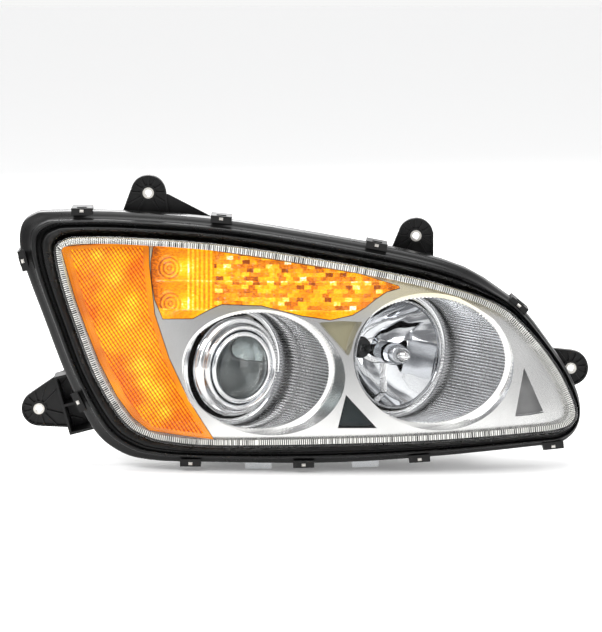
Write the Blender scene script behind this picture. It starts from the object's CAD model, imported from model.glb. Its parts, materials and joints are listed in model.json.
import bpy
import bmesh
import json
import math
from mathutils import Matrix, Vector


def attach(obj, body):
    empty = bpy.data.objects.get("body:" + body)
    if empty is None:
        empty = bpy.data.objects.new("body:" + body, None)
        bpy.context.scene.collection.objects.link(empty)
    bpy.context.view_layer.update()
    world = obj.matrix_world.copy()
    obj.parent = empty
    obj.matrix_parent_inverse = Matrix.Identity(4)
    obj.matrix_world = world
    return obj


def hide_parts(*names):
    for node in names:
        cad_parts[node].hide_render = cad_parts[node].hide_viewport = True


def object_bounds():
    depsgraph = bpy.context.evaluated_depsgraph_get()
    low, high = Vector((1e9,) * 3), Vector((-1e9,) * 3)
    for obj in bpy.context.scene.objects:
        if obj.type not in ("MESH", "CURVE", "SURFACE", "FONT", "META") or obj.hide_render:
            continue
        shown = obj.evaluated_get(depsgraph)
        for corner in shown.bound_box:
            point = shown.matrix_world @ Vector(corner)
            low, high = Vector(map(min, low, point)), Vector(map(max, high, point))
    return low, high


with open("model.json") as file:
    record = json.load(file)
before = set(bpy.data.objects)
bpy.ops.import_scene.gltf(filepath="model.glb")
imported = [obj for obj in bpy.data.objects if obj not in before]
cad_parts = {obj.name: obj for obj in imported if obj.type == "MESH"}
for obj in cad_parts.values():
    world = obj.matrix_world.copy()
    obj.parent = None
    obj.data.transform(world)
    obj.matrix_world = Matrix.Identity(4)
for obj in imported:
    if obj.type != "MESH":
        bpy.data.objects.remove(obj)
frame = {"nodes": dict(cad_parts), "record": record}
cad_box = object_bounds()
NODES = frame["nodes"]
MM = 0.001

# ---------------------------------------------------------------- driving sizes (mm)

LENS_R = 1500.0
LENS_WALL = 2.6
LENS_CENTRE = Vector((250.0, 1360.0, -390.0))
SWEEP = math.radians(36)
LOW_CENTRE = Vector((117.6, -65.0, -211.5))
HIGH_CENTRE = Vector((309.8, -39.5, -198.5))
LOW_CUP_R = 73.5
HIGH_CUP_R = 79.0
STEP_Y = -89.0  # where the wall of each cup steps outward
AXIS_R = 0.02  # radius that stands for a point on the axis of a turned piece

# Outer edge of the black frame and edge of the clear lens, [x, z], station by station
FRAME_EDGE = [(-161, -64), (-158, -39), (-143, -26), (-121, -22), (-34, -20), (90, -27), (214, -45),
              (326, -66), (394, -87), (437, -114), (465, -137), (496, -177), (524, -219), (537, -255),
              (533, -285), (512, -303), (475, -307), (351, -317), (227, -324), (78, -325), (3, -324),
              (-36, -314), (-68, -287), (-101, -224), (-130, -152), (-153, -94)]
LENS_EDGE = [(-116, -69), (-113, -58), (-104, -52), (-86, -48), (-21, -47), (90, -53), (214, -70),
             (320, -90), (378, -105), (418, -119), (450, -137), (487, -176), (514, -215), (531, -255),
             (528, -274), (509, -284), (467, -288), (351, -295), (227, -299), (85, -302), (31, -299),
             (1, -293), (-29, -275), (-63, -224), (-88, -163), (-107, -109)]


# ---------------------------------------------------------------- curves and meshes

def curve_point(a, b, c, d, t):
    """A point of the smooth curve from b to c, with a and d as the neighbours."""
    return tuple(0.5 * (2 * b[k] + (c[k] - a[k]) * t + (2 * a[k] - 5 * b[k] + 4 * c[k] - d[k]) * t * t
                        + (3 * b[k] - a[k] - 3 * c[k] + d[k]) * t * t * t) for k in range(2))


def smooth_loop(pts, steps):
    """A closed smooth curve through the points, with so many steps from each to the next."""
    n = len(pts)
    return [curve_point(pts[i - 1], pts[i], pts[(i + 1) % n], pts[(i + 2) % n], k / steps)
            for i in range(n) for k in range(steps)]


def normals(loop):
    """Unit vectors that point inward, for a clockwise loop."""
    out = []
    for i in range(len(loop)):
        a, b = loop[i - 1], loop[(i + 1) % len(loop)]
        dx, dz = b[0] - a[0], b[1] - a[1]
        size = math.hypot(dx, dz) or 1.0
        out.append((dz / size, -dx / size))
    return out


def inset(loop, d):
    return [(p[0] + n[0] * d, p[1] + n[1] * d) for p, n in zip(loop, normals(loop))]


def between(outer, inner, t):
    return [(o[0] + (i[0] - o[0]) * t, o[1] + (i[1] - o[1]) * t) for o, i in zip(outer, inner)]


def lens_y(x, z, depth):
    """The y of a place that lies depth mm behind the lens's outer surface."""
    r = LENS_R - depth
    return LENS_CENTRE.y - math.sqrt(r * r - (x - LENS_CENTRE.x) ** 2 - (z - LENS_CENTRE.z) ** 2)


def on_lens(p, depth):
    return Vector((p[0], lens_y(p[0], p[1], depth), p[1]))


def lamp_point(centre, x, y, z):
    """Lamp axes: x across, y up, z forward."""
    return centre + Vector((x * math.cos(SWEEP) + z * math.sin(SWEEP),
                            x * math.sin(SWEEP) - z * math.cos(SWEEP), y))


def new_object(name, verts, faces, smooth_angle=30.0):
    """A mesh object from points in mm, smooth except at edges sharper than an angle."""
    mesh = bpy.data.meshes.new(name)
    mesh.from_pydata([tuple(v * MM for v in p) for p in verts], [], faces)
    mesh.update()
    bm = bmesh.new()
    bm.from_mesh(mesh)
    bmesh.ops.remove_doubles(bm, verts=bm.verts, dist=1e-6)
    bmesh.ops.recalc_face_normals(bm, faces=bm.faces)
    limit = math.radians(smooth_angle)
    for f in bm.faces:
        f.smooth = True
    for e in bm.edges:
        if len(e.link_faces) == 2 and e.calc_face_angle(0) > limit:
            e.smooth = False
    bm.to_mesh(mesh)
    bm.free()
    obj = bpy.data.objects.new(name, mesh)
    bpy.context.collection.objects.link(obj)
    return obj


def loft(name, rings, close_profile=True, close_loop=True, smooth_angle=30.0):
    """Skin between rings of points. Each ring is one station of the profile, all round the loop."""
    verts = [p for ring in rings for p in ring]
    n, m = len(rings[0]), len(rings)
    faces = []
    for j in range(m if close_profile else m - 1):
        a, b = j * n, ((j + 1) % m) * n
        for i in range(n if close_loop else n - 1):
            k = (i + 1) % n
            faces.append((a + i, a + k, b + k, b + i))
    return new_object(name, verts, faces, smooth_angle)


def lathe(name, profile, centre, steps=128, closed=True, smooth_angle=30.0):
    """Turns a profile of (radius, z) about a lamp's axis."""
    rings = []
    for r, z in profile:
        rings.append([lamp_point(centre, r * math.cos(2 * math.pi * i / steps),
                                 r * math.sin(2 * math.pi * i / steps), z) for i in range(steps)])
    return loft(name, rings, closed, True, smooth_angle)


# ---------------------------------------------------------------- materials

def material(name, base, metallic=0.0, rough=0.5, **extra):
    mat = bpy.data.materials.new(name)
    mat.use_nodes = True
    bsdf = mat.node_tree.nodes["Principled BSDF"]
    bsdf.inputs["Base Color"].default_value = (*base, 1.0)
    bsdf.inputs["Metallic"].default_value = metallic
    bsdf.inputs["Roughness"].default_value = rough
    for key, value in extra.items():
        bsdf.inputs[key.replace("_", " ")].default_value = value
    return mat


def parts(mat):
    """A material's nodes, its links and its main shader."""
    tree = mat.node_tree
    return tree.nodes, tree.links, tree.nodes["Principled BSDF"]


def add_noise(mat, scale, detail=4.0, stretch=(1, 1, 1)):
    """A noise texture on object coordinates; gives its factor socket."""
    nodes, links, _ = parts(mat)
    coord = nodes.new("ShaderNodeTexCoord")
    mapping = nodes.new("ShaderNodeMapping")
    mapping.inputs["Scale"].default_value = stretch
    noise = nodes.new("ShaderNodeTexNoise")
    noise.inputs["Scale"].default_value = scale
    noise.inputs["Detail"].default_value = detail
    links.new(coord.outputs["Object"], mapping.inputs["Vector"])
    links.new(mapping.outputs["Vector"], noise.inputs["Vector"])
    return noise.outputs["Fac"]


def ramp(mat, factor, stops):
    """A colour ramp fed by factor. stops: (position, rgb)."""
    nodes, links, _ = parts(mat)
    node = nodes.new("ShaderNodeValToRGB")
    while len(node.color_ramp.elements) < len(stops):
        node.color_ramp.elements.new(0.5)
    for element, (pos, rgb) in zip(node.color_ramp.elements, stops):
        element.position = pos
        element.color = (*rgb, 1.0)
    links.new(factor, node.inputs["Fac"])
    return node.outputs["Color"]


def add_bump(mat, factor, strength, distance):
    nodes, links, bsdf = parts(mat)
    bump = nodes.new("ShaderNodeBump")
    bump.inputs["Strength"].default_value = strength
    bump.inputs["Distance"].default_value = distance
    links.new(factor, bump.inputs["Height"])
    links.new(bump.outputs["Normal"], bsdf.inputs["Normal"])
    return bump


def remap(mat, factor, low, high):
    nodes, links, _ = parts(mat)
    node = nodes.new("ShaderNodeMapRange")
    node.inputs["To Min"].default_value = low
    node.inputs["To Max"].default_value = high
    links.new(factor, node.inputs["Value"])
    return node.outputs["Result"]


def moulded_plastic(name, base, light, rough=(0.38, 0.55), grain=0.15):
    mat = material(name, base, rough=rough[0])
    _, links, bsdf = parts(mat)
    bsdf.inputs["Specular IOR Level"].default_value = 0.3
    links.new(ramp(mat, add_noise(mat, 25.0), [(0.4, base), (0.7, light)]), bsdf.inputs["Base Color"])
    links.new(remap(mat, add_noise(mat, 60.0), *rough), bsdf.inputs["Roughness"])
    add_bump(mat, add_noise(mat, 2200.0, 2.0), grain, 0.0001)
    return mat


def metal(name, base, rough=(0.03, 0.1), scale=30.0, bump=0.0, bump_scale=300.0):
    mat = material(name, base, metallic=1.0, rough=rough[0])
    _, links, bsdf = parts(mat)
    tint = ramp(mat, add_noise(mat, scale * 0.7), [(0.3, tuple(c * 0.93 for c in base)), (0.7, base)])
    links.new(tint, bsdf.inputs["Base Color"])
    links.new(remap(mat, add_noise(mat, scale), *rough), bsdf.inputs["Roughness"])
    if bump:
        add_bump(mat, add_noise(mat, bump_scale), bump, 0.0003)
    return mat


def mix_colour(mat, factor, a, b, mode="MIX"):
    """Mixes two colour sockets by a factor socket or number."""
    nodes, links, _ = parts(mat)
    node = nodes.new("ShaderNodeMix")
    node.data_type = "RGBA"
    node.blend_type = mode
    colours = [i for i in node.inputs if i.type == "RGBA"]
    if isinstance(factor, float):
        node.inputs["Factor"].default_value = factor
    else:
        links.new(factor, node.inputs["Factor"])
    links.new(a, colours[0])
    links.new(b, colours[1])
    return next(o for o in node.outputs if o.type == "RGBA")


def height_tint(mat, upper, low, high):
    """Warms a metal's colour above a height (m), as if lit through the amber beside it."""
    nodes, links, bsdf = parts(mat)
    coord = nodes.new("ShaderNodeTexCoord")
    split = nodes.new("ShaderNodeSeparateXYZ")
    lift = nodes.new("ShaderNodeMapRange")
    lift.inputs["From Min"].default_value = low
    lift.inputs["From Max"].default_value = high
    links.new(coord.outputs["Object"], split.inputs["Vector"])
    links.new(split.outputs["Z"], lift.inputs["Value"])
    before = bsdf.inputs["Base Color"].links[0].from_socket
    warm = nodes.new("ShaderNodeRGB")
    warm.outputs[0].default_value = (*upper, 1.0)
    links.new(mix_colour(mat, lift.outputs["Result"], before, warm.outputs[0]), bsdf.inputs["Base Color"])
    return mat


def rubber(name, base, rough=(0.65, 0.85)):
    mat = material(name, base, rough=rough[0])
    _, links, bsdf = parts(mat)
    links.new(ramp(mat, add_noise(mat, 90.0), [(0.35, base), (0.75, tuple(c * 1.5 + 0.004 for c in base))]),
              bsdf.inputs["Base Color"])
    links.new(remap(mat, add_noise(mat, 150.0), *rough), bsdf.inputs["Roughness"])
    add_bump(mat, add_noise(mat, 1500.0, 2.0), 0.1, 0.0002)
    return mat


def clear_shell(name, tint=(0.96, 0.98, 1.0), facing=0.04, grazing=0.55, rough=0.01):
    """Thin clear plastic: straight through, with a surface reflection that grows at a glance."""
    mat = bpy.data.materials.new(name)
    mat.use_nodes = True
    nodes, links = mat.node_tree.nodes, mat.node_tree.links
    nodes.clear()
    out = nodes.new("ShaderNodeOutputMaterial")
    mix = nodes.new("ShaderNodeMixShader")
    clear = nodes.new("ShaderNodeBsdfTransparent")
    gloss = nodes.new("ShaderNodeBsdfGlossy")
    weight = nodes.new("ShaderNodeLayerWeight")
    amount = nodes.new("ShaderNodeMapRange")
    clear.inputs["Color"].default_value = (*tint, 1)
    gloss.inputs["Roughness"].default_value = rough
    weight.inputs["Blend"].default_value = 0.25
    amount.inputs["To Min"].default_value = facing
    amount.inputs["To Max"].default_value = grazing
    links.new(weight.outputs["Facing"], amount.inputs["Value"])
    links.new(amount.outputs["Result"], mix.inputs["Fac"])
    links.new(clear.outputs["BSDF"], mix.inputs[1])
    links.new(gloss.outputs["BSDF"], mix.inputs[2])
    links.new(mix.outputs["Shader"], out.inputs["Surface"])
    return mat


BLACK = moulded_plastic("case_plastic", (0.003, 0.003, 0.003), (0.006, 0.006, 0.006), (0.3, 0.42))
FRAME_BLACK = moulded_plastic("frame_plastic", (0.004, 0.004, 0.004), (0.007, 0.007, 0.007), (0.24, 0.32),
                              0.04)
DARK = moulded_plastic("dark_plastic", (0.02, 0.021, 0.023), (0.03, 0.03, 0.03))
GREY = moulded_plastic("grey_plastic", (0.09, 0.09, 0.085), (0.12, 0.12, 0.11))
PANEL_GREY = moulded_plastic("panel_grey", (0.17, 0.17, 0.175), (0.24, 0.24, 0.24), (0.3, 0.4))
PANEL_KHAKI = moulded_plastic("panel_khaki", (0.28, 0.26, 0.17), (0.34, 0.32, 0.22), (0.3, 0.4))
PANEL_DARK = moulded_plastic("panel_dark", (0.012, 0.022, 0.026), (0.03, 0.045, 0.05), (0.2, 0.3))
NYLON = moulded_plastic("natural_nylon", (0.62, 0.58, 0.48), (0.75, 0.72, 0.62))
CHROME = height_tint(metal("bezel_chrome", (0.95, 0.95, 0.95), (0.16, 0.24), 14.0), (0.97, 0.89, 0.66),
                     -0.150, -0.115)
BRIGHT = metal("ring_chrome", (0.8, 0.81, 0.83), (0.02, 0.05), 20.0)
BOWL = metal("reflector_chrome", (0.82, 0.83, 0.85), (0.02, 0.04), 10.0)
STEEL = metal("plated_steel", (0.62, 0.6, 0.56), (0.22, 0.4), 90.0, 0.15, 500.0)
CAST = metal("cast_alloy", (0.48, 0.48, 0.47), (0.4, 0.6), 120.0, 0.4, 700.0)
DARK_STEEL = metal("dark_steel", (0.5, 0.5, 0.51), (0.3, 0.5), 60.0, 0.1)
RUBBER = rubber("black_rubber", (0.01, 0.01, 0.01))
SILICONE = rubber("orange_silicone", (0.45, 0.12, 0.04), (0.4, 0.55))
CLEAR = clear_shell("clear_lens", (0.99, 0.99, 0.985), 0.012, 0.45)
QUARTZ = clear_shell("quartz", (0.93, 0.95, 0.96), 0.08, 0.8)
AMBER_GLASS = clear_shell("amber_glass", (0.95, 0.42, 0.03), 0.08, 0.7)
PROJECTOR = material("projector_glass", (0.86, 0.93, 0.94), rough=0.01, Transmission_Weight=1.0, IOR=1.5)
TAB_CLEAR = clear_shell("tab_clear", (0.82, 0.84, 0.86), 0.2, 0.8, 0.1)
FLUTE_LIGHT = material("flute_light", (0.85, 0.85, 0.82), rough=0.15, Metallic=0.3)
FLUTE_DARK = material("flute_dark", (0.008, 0.008, 0.009), rough=0.1)
DARK_CHROME = metal("dark_chrome", (0.45, 0.46, 0.48), (0.04, 0.08), 20.0)
FLUTED_DIM = metal("fluted_dim", (0.62, 0.62, 0.63), (0.15, 0.25), 20.0)
FLUTED_CHROME = metal("fluted_chrome", (0.93, 0.93, 0.93), (0.12, 0.2), 20.0)


WAVE_UNIT = 0.314  # wave scale that gives one line per unit length


def retro_lines(mat, turn, pitch):
    """Fine parallel lines on the panel's face, turned by an angle; gives a factor socket."""
    nodes, links, _ = parts(mat)
    coord = nodes.new("ShaderNodeTexCoord")
    mapping = nodes.new("ShaderNodeMapping")
    mapping.inputs["Rotation"].default_value = (0, math.radians(turn), 0)
    wave = nodes.new("ShaderNodeTexWave")
    wave.bands_direction = "X"
    wave.inputs["Scale"].default_value = WAVE_UNIT / (pitch * MM)
    wave.inputs["Distortion"].default_value = 0.6
    links.new(coord.outputs["Object"], mapping.inputs["Vector"])
    links.new(mapping.outputs["Vector"], wave.inputs["Vector"])
    return wave.outputs["Fac"]


def amber_panel():
    """Retro-reflecting amber: crossing fine lines over patches from deep orange to bright yellow."""
    mat = material("amber_panel", (0.95, 0.36, 0.01), rough=0.1)
    nodes, links, bsdf = parts(mat)
    patches = ramp(mat, add_noise(mat, 26.0, 3.0), [(0.36, (0.88, 0.22, 0.0)), (0.5, (0.97, 0.37, 0.0)),
                                                    (0.62, (1.0, 0.5, 0.0))])
    stored = nodes.new("ShaderNodeAttribute")
    stored.attribute_name = "tone"
    yellow = nodes.new("ShaderNodeRGB")
    yellow.outputs[0].default_value = (1.0, 0.82, 0.03, 1.0)
    patches = mix_colour(mat, stored.outputs["Fac"], patches, yellow.outputs[0])
    dark_lines = [(0.1, (0.62, 0.24, 0.03)), (0.7, (1.0, 1.0, 1.0))]
    first = ramp(mat, retro_lines(mat, 35, 3.9), dark_lines)
    second = ramp(mat, retro_lines(mat, -55, 4.7), [(0.0, (0.75, 0.6, 0.5)), (0.6, (1.0, 1.0, 1.0))])
    lined = mix_colour(mat, 1.0, patches, first, "MULTIPLY")
    glow = mix_colour(mat, 0.8, lined, second, "MULTIPLY")
    links.new(glow, bsdf.inputs["Base Color"])
    links.new(glow, bsdf.inputs["Emission Color"])
    bsdf.inputs["Emission Strength"].default_value = 0.26
    bsdf.inputs["Specular IOR Level"].default_value = 0.15
    return mat


def amber_edge():
    """Plain amber of the panel's borders."""
    mat = material("amber_edge", (0.8, 0.24, 0.0), rough=0.12)
    _, links, bsdf = parts(mat)
    tone = ramp(mat, add_noise(mat, 14.0, 2.0), [(0.35, (0.62, 0.15, 0.0)), (0.65, (0.86, 0.3, 0.0))])
    links.new(tone, bsdf.inputs["Base Color"])
    links.new(tone, bsdf.inputs["Emission Color"])
    bsdf.inputs["Emission Strength"].default_value = 0.16
    return mat


def amber_optic():
    """Amber whose tone follows the tone stored on the mesh, broken up by fine specks."""
    mat = material("amber_lens", (0.98, 0.5, 0.05), rough=0.1)
    nodes, links, bsdf = parts(mat)
    stored = nodes.new("ShaderNodeAttribute")
    stored.attribute_name = "tone"
    speck = remap(mat, add_noise(mat, 420.0, 1.0, (0.7, 0.1, 1.3)), -0.3, 0.3)
    total = nodes.new("ShaderNodeMath")
    total.operation = "ADD"
    links.new(stored.outputs["Fac"], total.inputs[0])
    links.new(speck, total.inputs[1])
    glow = ramp(mat, total.outputs[0], [(0.0, (0.28, 0.05, 0.0)), (0.25, (0.75, 0.19, 0.0)),
                                        (0.5, (0.98, 0.38, 0.0)), (0.75, (1.0, 0.6, 0.01)),
                                        (0.92, (1.0, 0.8, 0.2)), (1.0, (1.0, 0.93, 0.75))])
    links.new(glow, bsdf.inputs["Base Color"])
    links.new(glow, bsdf.inputs["Emission Color"])
    bsdf.inputs["Emission Strength"].default_value = 0.2
    bsdf.inputs["Specular IOR Level"].default_value = 0.4
    return mat


AMBER_EDGE = amber_edge()
AMBER = amber_panel()
AMBER_LENS = amber_optic()

BY_SLOT = {"black_case": BLACK, "black_frame": FRAME_BLACK, "clear": CLEAR, "black_rubber": RUBBER,
           "orange_rubber": SILICONE, "steel": STEEL, "chrome": CHROME, "ring_chrome": BRIGHT,
           "amber_panel": AMBER, "amber_lens": AMBER_LENS, "amber_glass": AMBER_GLASS,
           "optic_glass": PROJECTOR, "bulb_glass": QUARTZ, "cast": CAST, "dark_steel": DARK_STEEL,
           "nylon": NYLON, "dark_plastic": DARK, "grey_plastic": GREY}


def dress_cad_nodes():
    """Gives every CAD node the material of its slot."""
    slots = {s["node"]: s["material_slot"] for s in frame["record"]["subparts"]}
    for name, obj in NODES.items():
        obj.data.materials.clear()
        obj.data.materials.append(BY_SLOT[slots[name]])


def add_piece(obj, mat, body, slot, *replaced):
    """Gives a new piece its material, body and slot, and hides the CAD nodes that it stands for."""
    obj.data.materials.append(mat)
    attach(obj, body)
    if replaced:
        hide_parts(*replaced)
    return obj


# ---------------------------------------------------------------- pieces

SIDE_EDGE = [(-107, -68), (-104, -63), (-49, -57), (-2, -57), (3, -61), (3, -81), (10, -142), (28, -196),
             (53, -248), (83, -294), (50, -291), (3, -285), (-18, -269), (-37, -244), (-59, -203),
             (-75, -164), (-89, -127)]
TURN_EDGE = [(8, -61), (12, -59), (74, -63), (168, -76), (263, -91), (311, -105.8), (312.5, -108.3),
             (296, -113), (282, -122), (271, -131), (254, -141), (227, -147), (192, -142), (142, -130),
             (93, -129), (81, -134), (66, -142), (57, -147), (20, -148), (10, -125), (6, -101), (5, -79)]
LOOP_STEPS = 12
OUTER = smooth_loop(FRAME_EDGE, LOOP_STEPS)
INNER = smooth_loop(LENS_EDGE, LOOP_STEPS)


def ring(t, off, depth):
    """A ring of points: t from frame edge to lens edge, then off mm inward, at a depth behind the lens."""
    return [on_lens(p, depth) for p in inset(between(OUTER, INNER, t), off)]


def build_frame():
    """The black frame: its rolled outer edge, the shallow groove and the lip round the lens."""
    # one station of the profile each: share of the way to the lens edge, mm inward, mm behind the lens
    profile = [(0.0, 0.2, 47.4), (0.0, 0.2, 34.0), (0.0, 0.5, 31.5), (0.03, 0.4, 29.8), (0.1, 0, 28.2),
               (0.2, 0, 26.8), (0.3, 0, 25.2), (0.33, 0, 23.5), (0.345, 0, 19.0), (0.365, 0, 17.2),
               (0.4, 0, 16.3), (0.44, 0, 16.2), (0.475, 0, 16.9), (0.495, 0, 18.6), (0.505, 0, 23.5),
               (0.52, 0, 25.2), (0.6, 0, 25.6), (0.64, 0, 24.8), (0.655, 0, 22.0), (0.67, 0, 18.0),
               (0.69, 0, 16.8), (0.73, 0, 16.4), (0.8, 0, 17.4), (0.9, 0, 20.5), (0.985, -0.7, 25.0),
               (1.0, -0.75, 28.0), (1.0, -0.75, 39.9), (0.6, 0, 39.9), (0.36, 0, 39.9), (0.35, 0, 47.4)]
    obj = loft("lens_frame_ring", [ring(*p) for p in profile], smooth_angle=50)
    add_piece(obj, FRAME_BLACK, "case", "black_frame", "lens_frame")


def medial(p):
    """Nearest point on the lens's middle line."""
    a, b = Vector((60, -172)), Vector((400, -212))
    t = max(0.0, min(1.0, (Vector(p) - a).dot(b - a) / (b - a).length_squared))
    return a + (b - a) * t


def dome_rings(start, depth, count=16):
    """Rings that shrink from start towards the lens's middle line, on the lens's own surface."""
    rings = []
    for k in range(count + 1):
        s = 0.96 * k / count
        rings.append([on_lens(tuple(Vector(p) + (medial(p) - Vector(p)) * s), depth) for p in start])
    return rings


def build_lens():
    """The clear lens: a rim that dips into the groove, then a shell over the whole opening."""
    start = inset(INNER, 9.0)
    outside = dome_rings(start, 0.0)
    inside = dome_rings(start, LENS_WALL)
    rim_out = [ring(1, 3.0, 43.2), ring(1, 0, 43.2), ring(1, 0, 5.0), ring(1, 0.3, 2.6), ring(1, 1.0, 1.0),
               ring(1, 2.4, 0.2), ring(1, 5.0, 0.0)]
    rim_in = [ring(1, 5.0, LENS_WALL), ring(1, 3.4, 3.4), ring(1, 3.0, 6.0)]
    rings = rim_out + outside
    n = len(start)
    verts = [p for r in rings for p in r] + [p for r in reversed(inside) for p in r]
    rings = rings + list(reversed(inside)) + rim_in
    verts += [p for r in rim_in for p in r]
    gap = len(rim_out) + len(outside) - 1
    faces = []
    for j in range(len(rings)):
        a, b = j * n, ((j + 1) % len(rings)) * n
        if j == gap:
            faces.append(tuple(range(a, a + n)))
            faces.append(tuple(range(b + n - 1, b - 1, -1)))
            continue
        for i in range(n):
            k = (i + 1) % n
            faces.append((a + i, a + k, b + k, b + i))
    lens = new_object("outer_lens_shell", verts, faces, 40)
    add_piece(lens, CLEAR, "case", "clear", "outer_lens")
    build_lens_tabs()


def build_lens_tabs():
    """Clear feet of the lens that show under the frame."""
    for number, (x, z, turn) in enumerate([(138, -325.2, 180), (270, -322.3, 182)]):
        c, s = math.cos(math.radians(turn)), math.sin(math.radians(turn))
        shape = [(-16.5, -10), (-16.5, 7.0), (-15.5, 8.2), (15.5, 8.2), (16.5, 7.0), (16.5, -10)]
        pts = [(x + p[0] * c - p[1] * s, z + p[0] * s + p[1] * c) for p in shape]
        rings = [[on_lens(p, d) for p in pts] for d in (40.4, 43.2)]
        verts = rings[0] + rings[1]
        faces = [tuple(range(6)), tuple(range(11, 5, -1))]
        faces += [(i, (i + 1) % 6, (i + 1) % 6 + 6, i + 6) for i in range(6)]
        tab = new_object(f"lens_tab_{number + 1}", verts, faces)
        add_piece(tab, TAB_CLEAR, "case", "clear")


def build_lens_flutes():
    """The ribbed band just inside the lens's edge."""
    per_step = 120
    fine = smooth_loop(LENS_EDGE, per_step)
    dist, walk = [0.0], 0.0
    for a, b in zip(fine, fine[1:] + fine[:1]):
        walk += math.hypot(b[0] - a[0], b[1] - a[1])
        dist.append(walk)
    ribs = round(walk / 2.6)
    lines = []
    for off, depth, wave in [(3.2, 3.8, 0.8), (4.4, 3.2, 1.7), (8.2, 3.0, 1.7), (9.6, 3.4, 0.8)]:
        line = []
        for p, d in zip(inset(fine, off), dist):
            line.append(on_lens(p, depth + 0.3 + wave * abs(math.sin(math.pi * ribs * d / walk))))
        lines.append(line)
    lines += [[on_lens(p, 5.4) for p in inset(fine, off)] for off in (9.4, 3.2)]
    band = loft("lens_edge_flutes", lines, smooth_angle=80)
    band.data.materials.append(FLUTE_LIGHT)
    band.data.materials.append(FLUTE_DARK)
    count = len(fine)
    for face in band.data.polygons:
        phase = (ribs * dist[face.index % count] / walk) % 1.0
        face.material_index = 0 if 0.22 < phase < 0.78 else 1
    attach(band, "case")


def cup_line(centre, r, base, steps, share, inward):
    """A ring on a cup's wall, a share of the way from the base to the wall's step."""
    line = []
    for i in range(steps):
        a = 2 * math.pi * i / steps
        x, y = r * math.cos(a), r * math.sin(a)
        end = max((centre.y + x * math.sin(SWEEP) - STEP_Y) / math.cos(SWEEP), base + 1.0)
        keep = (r - inward(a)) / r
        line.append(lamp_point(centre, x * keep, y * keep, base + 0.2 + (end - base - 0.4) * share))
    return line


def cup_liner(name, centre, r, base, ribs):
    """Ribbed lining of a cup, from its base to the step in its wall."""
    sides = 6  # facets of one rib
    levels = 6
    steps = ribs * sides

    def rib(a):
        return 0.3 + 1.1 * abs(math.sin(ribs * a / 2))

    rings = [cup_line(centre, r, base, steps, level / levels, rib) for level in range(levels + 1)]
    rings += [cup_line(centre, r - 0.08, base, steps, share, lambda a: 0.0) for share in (1, 0)]
    liner = loft(name, rings, smooth_angle=60)
    liner.data.materials.append(FLUTED_CHROME)
    liner.data.materials.append(FLUTED_DIM)
    for face in liner.data.polygons:
        face.material_index = 1 if (face.index % steps) % sides in (0, sides - 1) else 0
    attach(liner, "case")


def cup_floor(name, centre, r_in, r_out, z):
    """Stepped ring that covers the floor of a cup."""
    outer = [(r_out - 1.0, 0.15), (r_out - 1.0, 1.2), (r_out - 1.8, 1.6)]
    inner = [(r_in + 3.2, 1.0), (r_in + 2.2, 1.8), (r_in + 0.8, 1.6), (r_in + 0.3, 0.9), (r_in + 0.3, 0.15)]
    profile = [(r, z + up) for r, up in outer + inner]
    add_piece(lathe(name, profile, centre), BRIGHT, "case", "chrome")


def arc(points, steps=6):
    """Rounds an open profile through its points."""
    ext = [points[0]] + list(points) + [points[-1]]
    out = []
    for i in range(1, len(ext) - 2):
        out += [curve_point(ext[i - 1], ext[i], ext[i + 1], ext[i + 2], k / steps) for k in range(steps)]
    return out + [points[-1]]


def build_low_lamp():
    """The low beam's bright rings: a rolled outer trim, and the holder round the glass."""
    front = arc([(45.3, -6.0), (46.6, -1.6), (49.2, 1.2), (51.6, 1.2), (53.4, -1.5), (54.6, -6.5),
                 (57.0, -8.6), (60.2, -9.6), (62.0, -12.5), (62.5, -16.5), (62.5, -19.4)], 5)
    back = [(61.3, -19.4), (60.8, -14.0), (59.0, -11.5), (54.0, -9.5), (52.4, -3.4), (50.4, -0.6),
            (47.4, -4.0), (46.3, -6.4)]
    add_piece(lathe("low_trim_ring", front + back, LOW_CENTRE), BRIGHT, "low_lamp", "ring_chrome",
              "low_shroud")
    rim = arc([(38.9, 0.6), (39.4, 1.3), (41.2, 1.9), (43.2, 1.5), (44.6, 0.2), (45.0, -1.6)], 4)
    holder = rim + [(45.0, -8.0), (40.2, -8.0), (40.2, 0.0), (38.9, 0.4)]
    add_piece(lathe("low_glass_holder", holder, LOW_CENTRE), BRIGHT, "low_lamp", "ring_chrome",
              "low_retainer")
    build_projector_glass()


def build_projector_glass():
    """The thick projector lens: a dome in front, flat behind."""
    dome_h = 19.0
    r = 39.9
    edge_z = -2.0
    steps = 20
    dome_r = (r * r + dome_h * dome_h) / (2 * dome_h)
    top = math.asin(r / dome_r)
    middle = edge_z + dome_h - dome_r
    dome = [(dome_r * math.sin(top * k / steps), middle + dome_r * math.cos(top * k / steps))
            for k in range(1, steps + 1)]
    glass = [(AXIS_R, edge_z + dome_h)] + dome + [(r, -5.5), (r - 0.5, -6.0), (AXIS_R, -6.0)]
    add_piece(lathe("projector_glass", glass, LOW_CENTRE, 96, False), PROJECTOR, "low_lamp", "optic_glass",
              "low_lens")


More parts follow.
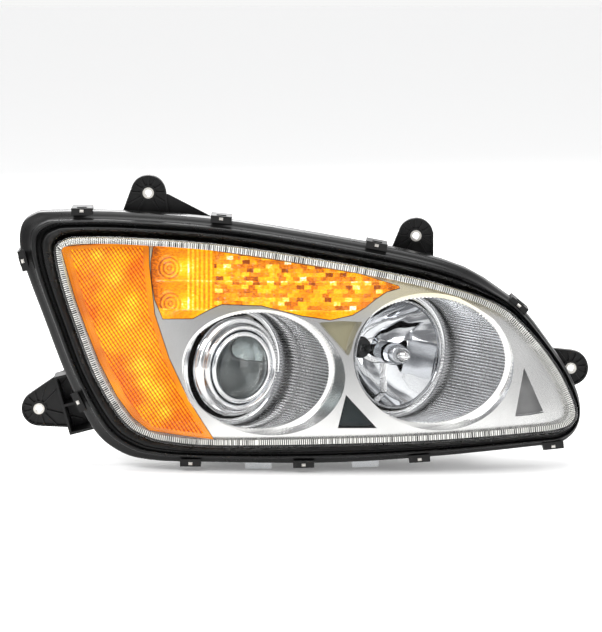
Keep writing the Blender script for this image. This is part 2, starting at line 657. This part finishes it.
def build_high_lamp():
    """The main beam: a faintly columned mirror, its rim ring, and the bulb's shield on a leg."""
    build_mirror_coat()
    ring_profile = arc([(64.6, 0.35), (64.8, 2.6), (66.0, 4.6), (67.4, 5.0), (68.3, 3.4), (68.5, 0.35)], 5)
    add_piece(lathe("high_rim_ring", ring_profile, HIGH_CENTRE), DARK_CHROME, "high_lamp", "ring_chrome",
              "high_ring")
    outer = arc([(13.2, -30.0), (14.0, -20.0), (14.1, -8.0), (12.8, 4.0), (9.4, 15.0), (5.0, 22.4),
                 (1.6, 25.4), (AXIS_R, 26.0)], 5)
    inner = [(AXIS_R, 25.0), (3.6, 22.6), (7.6, 15.6), (11.3, 4.6), (12.6, -10.0), (12.2, -30.0)]
    shield = lathe("bulb_shield", outer + inner, HIGH_CENTRE, 96)
    add_piece(shield, BRIGHT, "high_lamp", "ring_chrome", "high_shield")
    build_shield_leg()


def build_mirror_coat():
    """Thin bright skin over the high-beam bowl, with upright columns that show near the rim."""
    depth = 74.0
    open_r = 65.5
    hole_r = 12.4
    lift = 0.6
    curve = []
    for k in range(33):
        r = hole_r + (open_r - lift - hole_r) * k / 32
        curve.append((r, -depth + depth * r * r / (open_r * open_r) + lift))
    back = [(r + 0.12, z - 0.25) for r, z in reversed(curve)]
    steps = 192
    rings = []
    for r, z in curve + back:
        line = []
        for i in range(steps):
            a = 2 * math.pi * i / steps
            x = r * math.cos(a)
            column = math.sin(math.pi * (x / 15.0)) ** 2 * min(1.0, (r - hole_r) / 20.0)
            line.append(lamp_point(HIGH_CENTRE, x, r * math.sin(a), z + 0.15 * column * (r < open_r - 0.7)))
        rings.append(line)
    add_piece(loft("high_mirror_coat", rings, smooth_angle=60), BOWL, "high_lamp", "chrome")


def build_shield_leg():
    """Bent strip that carries the shield from the reflector's lower wall."""
    path = arc([(-50.9, -27.2), (-40.0, -27.0), (-28.0, -27.5), (-18.0, -27.6), (-13.0, -27.0)], 4)
    half, thick = 5.0, 0.8
    section = [(-1, -1), (-0.6, -1.4), (0.6, -1.4), (1, -1), (1, 1), (0.6, 0.6), (-0.6, 0.6), (-1, 1)]
    rings = [[lamp_point(HIGH_CENTRE, sx * half, y, z + sz * thick) for sx, sz in section] for y, z in path]
    n = len(section)
    verts = [p for r in rings for p in r]
    faces = [tuple(range(n)), tuple(range(len(verts) - 1, len(verts) - n - 1, -1))]
    for j in range(len(rings) - 1):
        for i in range(n):
            k = (i + 1) % n
            faces.append((j * n + i, j * n + k, (j + 1) * n + k, (j + 1) * n + i))
    add_piece(new_object("shield_leg", verts, faces, 50), BRIGHT, "high_lamp", "ring_chrome")


def crossing(poly, axis, value):
    """Lowest and highest place where a line of constant axis value meets an outline."""
    hits = []
    for a, b in zip(poly, poly[1:] + poly[:1]):
        lo, hi = sorted((a[axis], b[axis]))
        if lo <= value <= hi and hi > lo:
            t = (value - a[axis]) / (b[axis] - a[axis])
            hits.append(a[1 - axis] + (b[1 - axis] - a[1 - axis]) * t)
    return min(hits), max(hits)


def spanned_slab(name, poly, axis, count_u, count_v, depth_at, back_at, smooth_angle=35):
    """A slab that fills an outline, with its front at depth_at(x, z) behind the lens."""
    lo = min(p[axis] for p in poly) + 0.05
    hi = max(p[axis] for p in poly) - 0.05
    front, back = [], []
    for i in range(count_u + 1):
        u = lo + (hi - lo) * i / count_u
        a, b = crossing(poly, axis, u)
        for j in range(count_v + 1):
            v = a + (b - a) * j / count_v
            p = (u, v) if axis == 0 else (v, u)
            front.append(on_lens(p, depth_at(*p)))
            back.append(on_lens(p, back_at))
    w, m = count_v + 1, len(front)
    faces = []
    for i in range(count_u):
        for j in range(count_v):
            q = (i * w + j, (i + 1) * w + j, (i + 1) * w + j + 1, i * w + j + 1)
            faces += [q, tuple(k + m for k in reversed(q))]
    edge = list(range(w)) + [i * w + w - 1 for i in range(1, count_u + 1)]
    edge += [count_u * w + j for j in range(w - 2, -1, -1)] + [i * w for i in range(count_u - 1, 0, -1)]
    for a, b in zip(edge, edge[1:] + edge[:1]):
        faces.append((a, b, b + m, a + m))
    return new_object(name, front + back, faces, smooth_angle)


def edge_distance(poly, p):
    """How far a place is from an outline."""
    best = 1e9
    for a, b in zip(poly, poly[1:] + poly[:1]):
        ab = (b[0] - a[0], b[1] - a[1])
        size = ab[0] ** 2 + ab[1] ** 2
        t = max(0, min(1, ((p[0] - a[0]) * ab[0] + (p[1] - a[1]) * ab[1]) / size))
        best = min(best, math.hypot(p[0] - a[0] - t * ab[0], p[1] - a[1] - t * ab[1]))
    return best


def cell_value(i, j):
    """A fixed pseudo-random number from 0 to 1 for a cell."""
    return abs(math.sin(i * 12.9898 + j * 78.233) * 43758.5453) % 1.0


def side_span(z):
    """Left and right edge of the side panel at a height, held just inside its ends."""
    return crossing(SIDE_EDGE, 1, max(min(z, -57.1), -293.9))


def side_depth(x, z):
    """Front of the amber side panel: stepped border round a field of small prisms."""
    inside = x - side_span(z)[0]
    if inside < 3.5:
        step = 0.0
    elif inside < 9.0:
        step = 0.9
    elif inside < 14.5:
        step = 1.8
    else:
        step = 2.6
    near = edge_distance(SIDE_EDGE, (x, z))
    if near < 6.5 and inside > 14.5:
        step = 0.6
    if step < 2.5:
        return 18.2 + step
    pitch = 2.6
    zone = 1.0 if (z > -205 or x > 12) else -1.0
    a = (x * 0.5 + zone * z * 0.87) / pitch
    b = (x * 0.87 - zone * z * 0.5) / pitch
    prism = abs(2 * (a % 1.0) - 1.0) * 0.5 + abs(2 * (b % 1.0) - 1.0) * 0.5
    return 20.4 + 0.7 * prism


BULB_VIEWS = ((28.0, -86.0), (29.5, -129.0))  # rings before the two bulbs, (x, z)
DIVIDERS = (-101.0, -136.0)  # heights of the ribs between rows
PILLOW = (8.6, 5.0)  # width and height of one optic


def turn_depth(x, z):
    """Front of the turn lens: rings before the bulbs, upright flutes, then rows of pillow optics."""
    depth = 21.2
    for line in DIVIDERS:
        depth += 1.0 * max(0.0, 1.0 - abs(z - line) / 1.2)
    for bx, bz in BULB_VIEWS:
        away = math.hypot(x - bx, z - bz)
        if away < 15.0:
            return depth - 1.5 * abs(math.sin(math.pi * away / 5.0)) ** 0.7
    if x < 50 or z < DIVIDERS[1]:
        return depth
    if x < 84:
        return depth - 0.9 * abs(math.sin(math.pi * x / 5.6))
    if x > 292:
        return depth - 0.5 * abs(math.sin(math.pi * x / 6.0))
    i, j = math.floor(x / PILLOW[0]), math.floor(z / PILLOW[1])
    lift = 0.5 + 0.9 * cell_value(i, j)
    return depth - lift * math.sin(math.pi * (x / PILLOW[0] - i)) * math.sin(math.pi * (z / PILLOW[1] - j))


def turn_tone(x, z):
    """How bright the turn lens looks at a place, 0 to 1."""
    tone = 0.34
    if x > 84:
        i, j = math.floor(x / PILLOW[0] + 0.3 * math.floor(z / PILLOW[1])), math.floor(z / PILLOW[1])
        tone = 0.2 + 0.45 * cell_value(i, j) + (0.45 if cell_value(j, i + 7) > 0.88 else 0.0)
        tone -= 0.25 if cell_value(j + 3, i) > 0.8 else 0.0
    elif x > 50:
        tone = 0.5 + 0.2 * math.sin(2 * math.pi * x / 5.6)
    for bx, bz in BULB_VIEWS:
        away = math.hypot(x - bx, z - bz)
        if away < 15.0:
            tone = 0.3 + 0.2 * math.cos(2 * math.pi * away / 5.0)
        tone += 0.42 * math.exp(-((x - bx - 18) ** 2 + (z - bz) ** 2) / 130.0)
    tone -= 0.3 * max(0.0, (24.0 - x) / 18.0)
    if z < DIVIDERS[1]:
        tone = 0.45 + 0.1 * math.sin(x / 9.0)
    for line in DIVIDERS:
        tone += 0.4 * max(0.0, 1.0 - abs(z - line) / 1.0)
    if x > 270:
        tone -= 0.35 * (x - 270) / 42.0
    return max(0.0, min(1.0, tone))


def side_tone(x, z):
    """Bright places of the side panel, 0 to 1."""
    spots = ((-27, -150, 14), (-18, -128, 8), (-8, -206, 13), (12, -238, 12), (22, -262, 9), (-62, -72, 8),
             (-2, -226, 8), (-40, -100, 10))
    return min(1.0, sum(0.75 * math.exp(-((x - a) ** 2 + (z - b) ** 2) / (r * r)) for a, b, r in spots))


def store_tone(obj, tone_at):
    """Keeps a tone for each vertex, worked out from its place."""
    layer = obj.data.attributes.new("tone", "FLOAT", "POINT")
    for vert, value in zip(obj.data.vertices, layer.data):
        value.value = tone_at(vert.co.x / MM, vert.co.z / MM)


def build_side_panel():
    panel = spanned_slab("side_panel", inset(SIDE_EDGE, 0.3), 1, 330, 170, side_depth, 23.5, 25)
    store_tone(panel, side_tone)
    panel.data.materials.append(AMBER)
    panel.data.materials.append(AMBER_EDGE)
    for face in panel.data.polygons:
        face.material_index = 0 if in_field(face.center.x / MM, face.center.z / MM) else 1
    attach(panel, "case")
    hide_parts("side_reflector")


def in_field(x, z):
    """True inside the prism field of the side panel, past its plain borders."""
    left, right = side_span(z)
    return x - left > 11.0 and right - x > 7.5 and edge_distance(SIDE_EDGE, (x, z)) > 5.0


def pocket_panel(name, poly, depth, mat, slot):
    """A thin plate that lines the floor of a pocket."""
    plate = spanned_slab(name, poly, 1, 40, 12, lambda x, z: depth, depth + 1.0)
    add_piece(plate, mat, "case", slot)


def build_pocket_panels():
    """The dark and khaki fields of the bezel, between and beside the cups."""
    side = [(466, -207.6), (490.5, -262.8), (472, -265.5), (455.6, -266.6)]
    upper = [(213, -150.5), (240, -148.6), (265.4, -149.4), (249, -191)]
    lower = [(246, -239), (283.4, -278.6), (260, -278.8), (236.4, -278.8)]
    pocket_panel("side_pocket_panel", side, 29.4, PANEL_GREY, "chrome")
    pocket_panel("upper_gap_panel", upper, 29.4, PANEL_KHAKI, "chrome")
    pocket_panel("lower_gap_panel", lower, 34.0, PANEL_DARK, "black_case")


def build_turn_lens():
    lens = spanned_slab("turn_lens_optic", inset(TURN_EDGE, 0.2), 0, 330, 90, turn_depth, 23.4, 30)
    store_tone(lens, turn_tone)
    add_piece(lens, AMBER_LENS, "case", "amber_lens", "turn_lens")


def build_clip_springs():
    """Steel tongues that show in the mouths of the lens clips."""
    clips = [(-82, -20.3, 0), (92, -26.5, -5), (284, -57.5, -11), (459.5, -132, -40), (-155.9, -83, 105),
             (54, -325.4, 180), (194, -325, 181), (337, -318.3, 184), (503, -305.4, 186), (-86, -254, 117)]
    for number, (x, z, turn) in enumerate(clips):
        a = math.radians(turn)
        out, along = Vector((-math.sin(a), 0, math.cos(a))), Vector((math.cos(a), 0, math.sin(a)))
        y = lens_y(x, z, 27) - 3.9
        rows = []
        for up, forward in [(-1.8, 0.1), (-1.2, 0.7), (0.2, 1.0), (1.6, 0.6), (2.2, 0.05)]:
            rows.append([Vector((x, y - forward, z)) + out * up + along * s for s in (-2.4, -1.8, 1.8, 2.4)])
        rows += [[p + Vector((0, 0.25, 0)) for p in r] for r in reversed(rows)]
        n = 4
        verts = [p for r in rows for p in r]
        faces = []
        for j in range(len(rows)):
            b = ((j + 1) % len(rows)) * n
            faces += [(j * n + i, j * n + i + 1, b + i + 1, b + i) for i in range(n - 1)]
        half = len(rows) // 2
        for side in (0, n - 1):
            for j in range(half - 1):
                k = len(rows) - 1 - j
                faces.append((j * n + side, (j + 1) * n + side, (k - 1) * n + side, k * n + side))
        add_piece(new_object(f"clip_spring_{number + 1}", verts, faces, 40), STEEL, "case", "steel")


# ---------------------------------------------------------------- stage

PALE = (0.93, 0.93, 0.925)


def area_light(name, place, target, size, power):
    data = bpy.data.lights.new(name, "AREA")
    data.shape = "RECTANGLE"
    data.size, data.size_y = size
    data.energy = power
    obj = bpy.data.objects.new(name, data)
    obj.location = place
    obj.rotation_euler = (Vector(target) - Vector(place)).to_track_quat("-Z", "Y").to_euler()
    bpy.context.collection.objects.link(obj)


def build_stage():
    """A flat pale floor just under the part, four soft lights and a plain studio world."""
    reach = 9000
    floor_z = cad_box[0][2] / MM - 2.0
    corners = [(-reach, -reach), (reach, -reach), (reach, reach), (-reach, reach)]
    floor = new_object("floor", [(x, y, floor_z) for x, y in corners], [(0, 1, 2, 3)])
    pale = material("pale_floor", PALE, rough=0.85)
    glow = pale.node_tree.nodes["Principled BSDF"].inputs
    glow["Emission Color"].default_value = (1, 1, 1, 1)
    glow["Emission Strength"].default_value = 0.16
    floor.data.materials.append(pale)
    area_light("key", (-1.2, -1.6, 1.6), (0.2, -0.05, -0.15), (1.4, 1.0), 34)
    area_light("fill", (1.9, -1.4, 0.4), (0.2, -0.05, -0.2), (1.0, 1.4), 16)
    area_light("top", (0.2, 0.3, 2.0), (0.2, 0.0, -0.2), (2.0, 1.2), 28)
    area_light("rear", (-0.5, 2.4, 1.3), (0.2, 0.05, -0.2), (2.0, 1.4), 46)
    build_world()


def world_ramp(nodes, low, high, dark):
    """A ramp from dark to white between two positions."""
    node = nodes.new("ShaderNodeValToRGB")
    first, last = node.color_ramp.elements
    first.position = low
    first.color = dark
    last.position = high
    last.color = (1.0, 1.0, 1.0, 1)
    return node


def build_world():
    """Bright metal mirrors soft light and dark patches; the camera sees a plain pale backdrop."""
    world = bpy.data.worlds.new("studio")
    bpy.context.scene.world = world
    world.use_nodes = True
    nodes, links = world.node_tree.nodes, world.node_tree.links
    coord = nodes.new("ShaderNodeTexCoord")
    split = nodes.new("ShaderNodeSeparateXYZ")
    lift = nodes.new("ShaderNodeMapRange")
    lift.inputs["From Min"].default_value = -1
    tone = world_ramp(nodes, 0.3, 0.75, (0.55, 0.55, 0.56, 1))
    links.new(coord.outputs["Generated"], split.inputs["Vector"])
    links.new(split.outputs["Z"], lift.inputs["Value"])
    links.new(lift.outputs["Result"], tone.inputs["Fac"])
    shift = nodes.new("ShaderNodeVectorMath")
    shift.inputs[1].default_value = (3.7, 1.9, 0.4)
    patches = nodes.new("ShaderNodeTexNoise")
    patches.inputs["Scale"].default_value = 2.2
    shade = world_ramp(nodes, 0.42, 0.55, (0.3, 0.3, 0.31, 1))
    links.new(coord.outputs["Generated"], shift.inputs[0])
    links.new(shift.outputs["Vector"], patches.inputs["Vector"])
    links.new(patches.outputs["Fac"], shade.inputs["Fac"])
    both = nodes.new("ShaderNodeVectorMath")
    both.operation = "MULTIPLY"
    links.new(tone.outputs["Color"], both.inputs[0])
    links.new(shade.outputs["Color"], both.inputs[1])
    mirrored = nodes["Background"]
    mirrored.inputs["Strength"].default_value = 1.25
    links.new(both.outputs["Vector"], mirrored.inputs["Color"])
    plain = nodes.new("ShaderNodeBackground")
    plain.inputs["Color"].default_value = (*PALE, 1)
    seen = nodes.new("ShaderNodeLightPath")
    pick = nodes.new("ShaderNodeMixShader")
    links.new(seen.outputs["Is Camera Ray"], pick.inputs["Fac"])
    links.new(mirrored.outputs["Background"], pick.inputs[1])
    links.new(plain.outputs["Background"], pick.inputs[2])
    links.new(pick.outputs["Shader"], nodes["World Output"].inputs["Surface"])


def build_camera():
    """A long lens, square on to the headlight and a little above it."""
    elevation = math.radians(8)
    distance = 5.0
    width = 0.7465  # metres that the frame spans at the part
    aim = Vector((0.1907, -0.06, -0.1474))
    data = bpy.data.cameras.new("camera")
    data.sensor_fit = "HORIZONTAL"
    data.sensor_width = 36.0
    data.lens = 36.0 * distance / width
    cam = bpy.data.objects.new("camera", data)
    away = Vector((0, -math.cos(elevation), math.sin(elevation)))
    cam.location = aim + away * distance
    cam.rotation_euler = (-away).to_track_quat("-Z", "Y").to_euler()
    bpy.context.collection.objects.link(cam)
    bpy.context.scene.camera = cam


bpy.context.scene.view_settings.view_transform = "Standard"
dress_cad_nodes()
build_frame()
build_lens()
build_lens_flutes()
cup_liner("low_cup_flutes", LOW_CENTRE, LOW_CUP_R, -22.0, 118)
cup_liner("high_cup_flutes", HIGH_CENTRE, HIGH_CUP_R, -3.0, 126)
cup_floor("low_cup_floor", LOW_CENTRE, 67.0, LOW_CUP_R, -22.0)
cup_floor("high_cup_floor", HIGH_CENTRE, 72.0, HIGH_CUP_R, -3.0)
build_low_lamp()
build_high_lamp()
build_side_panel()
build_turn_lens()
build_clip_springs()
build_pocket_panels()
build_stage()
build_camera()
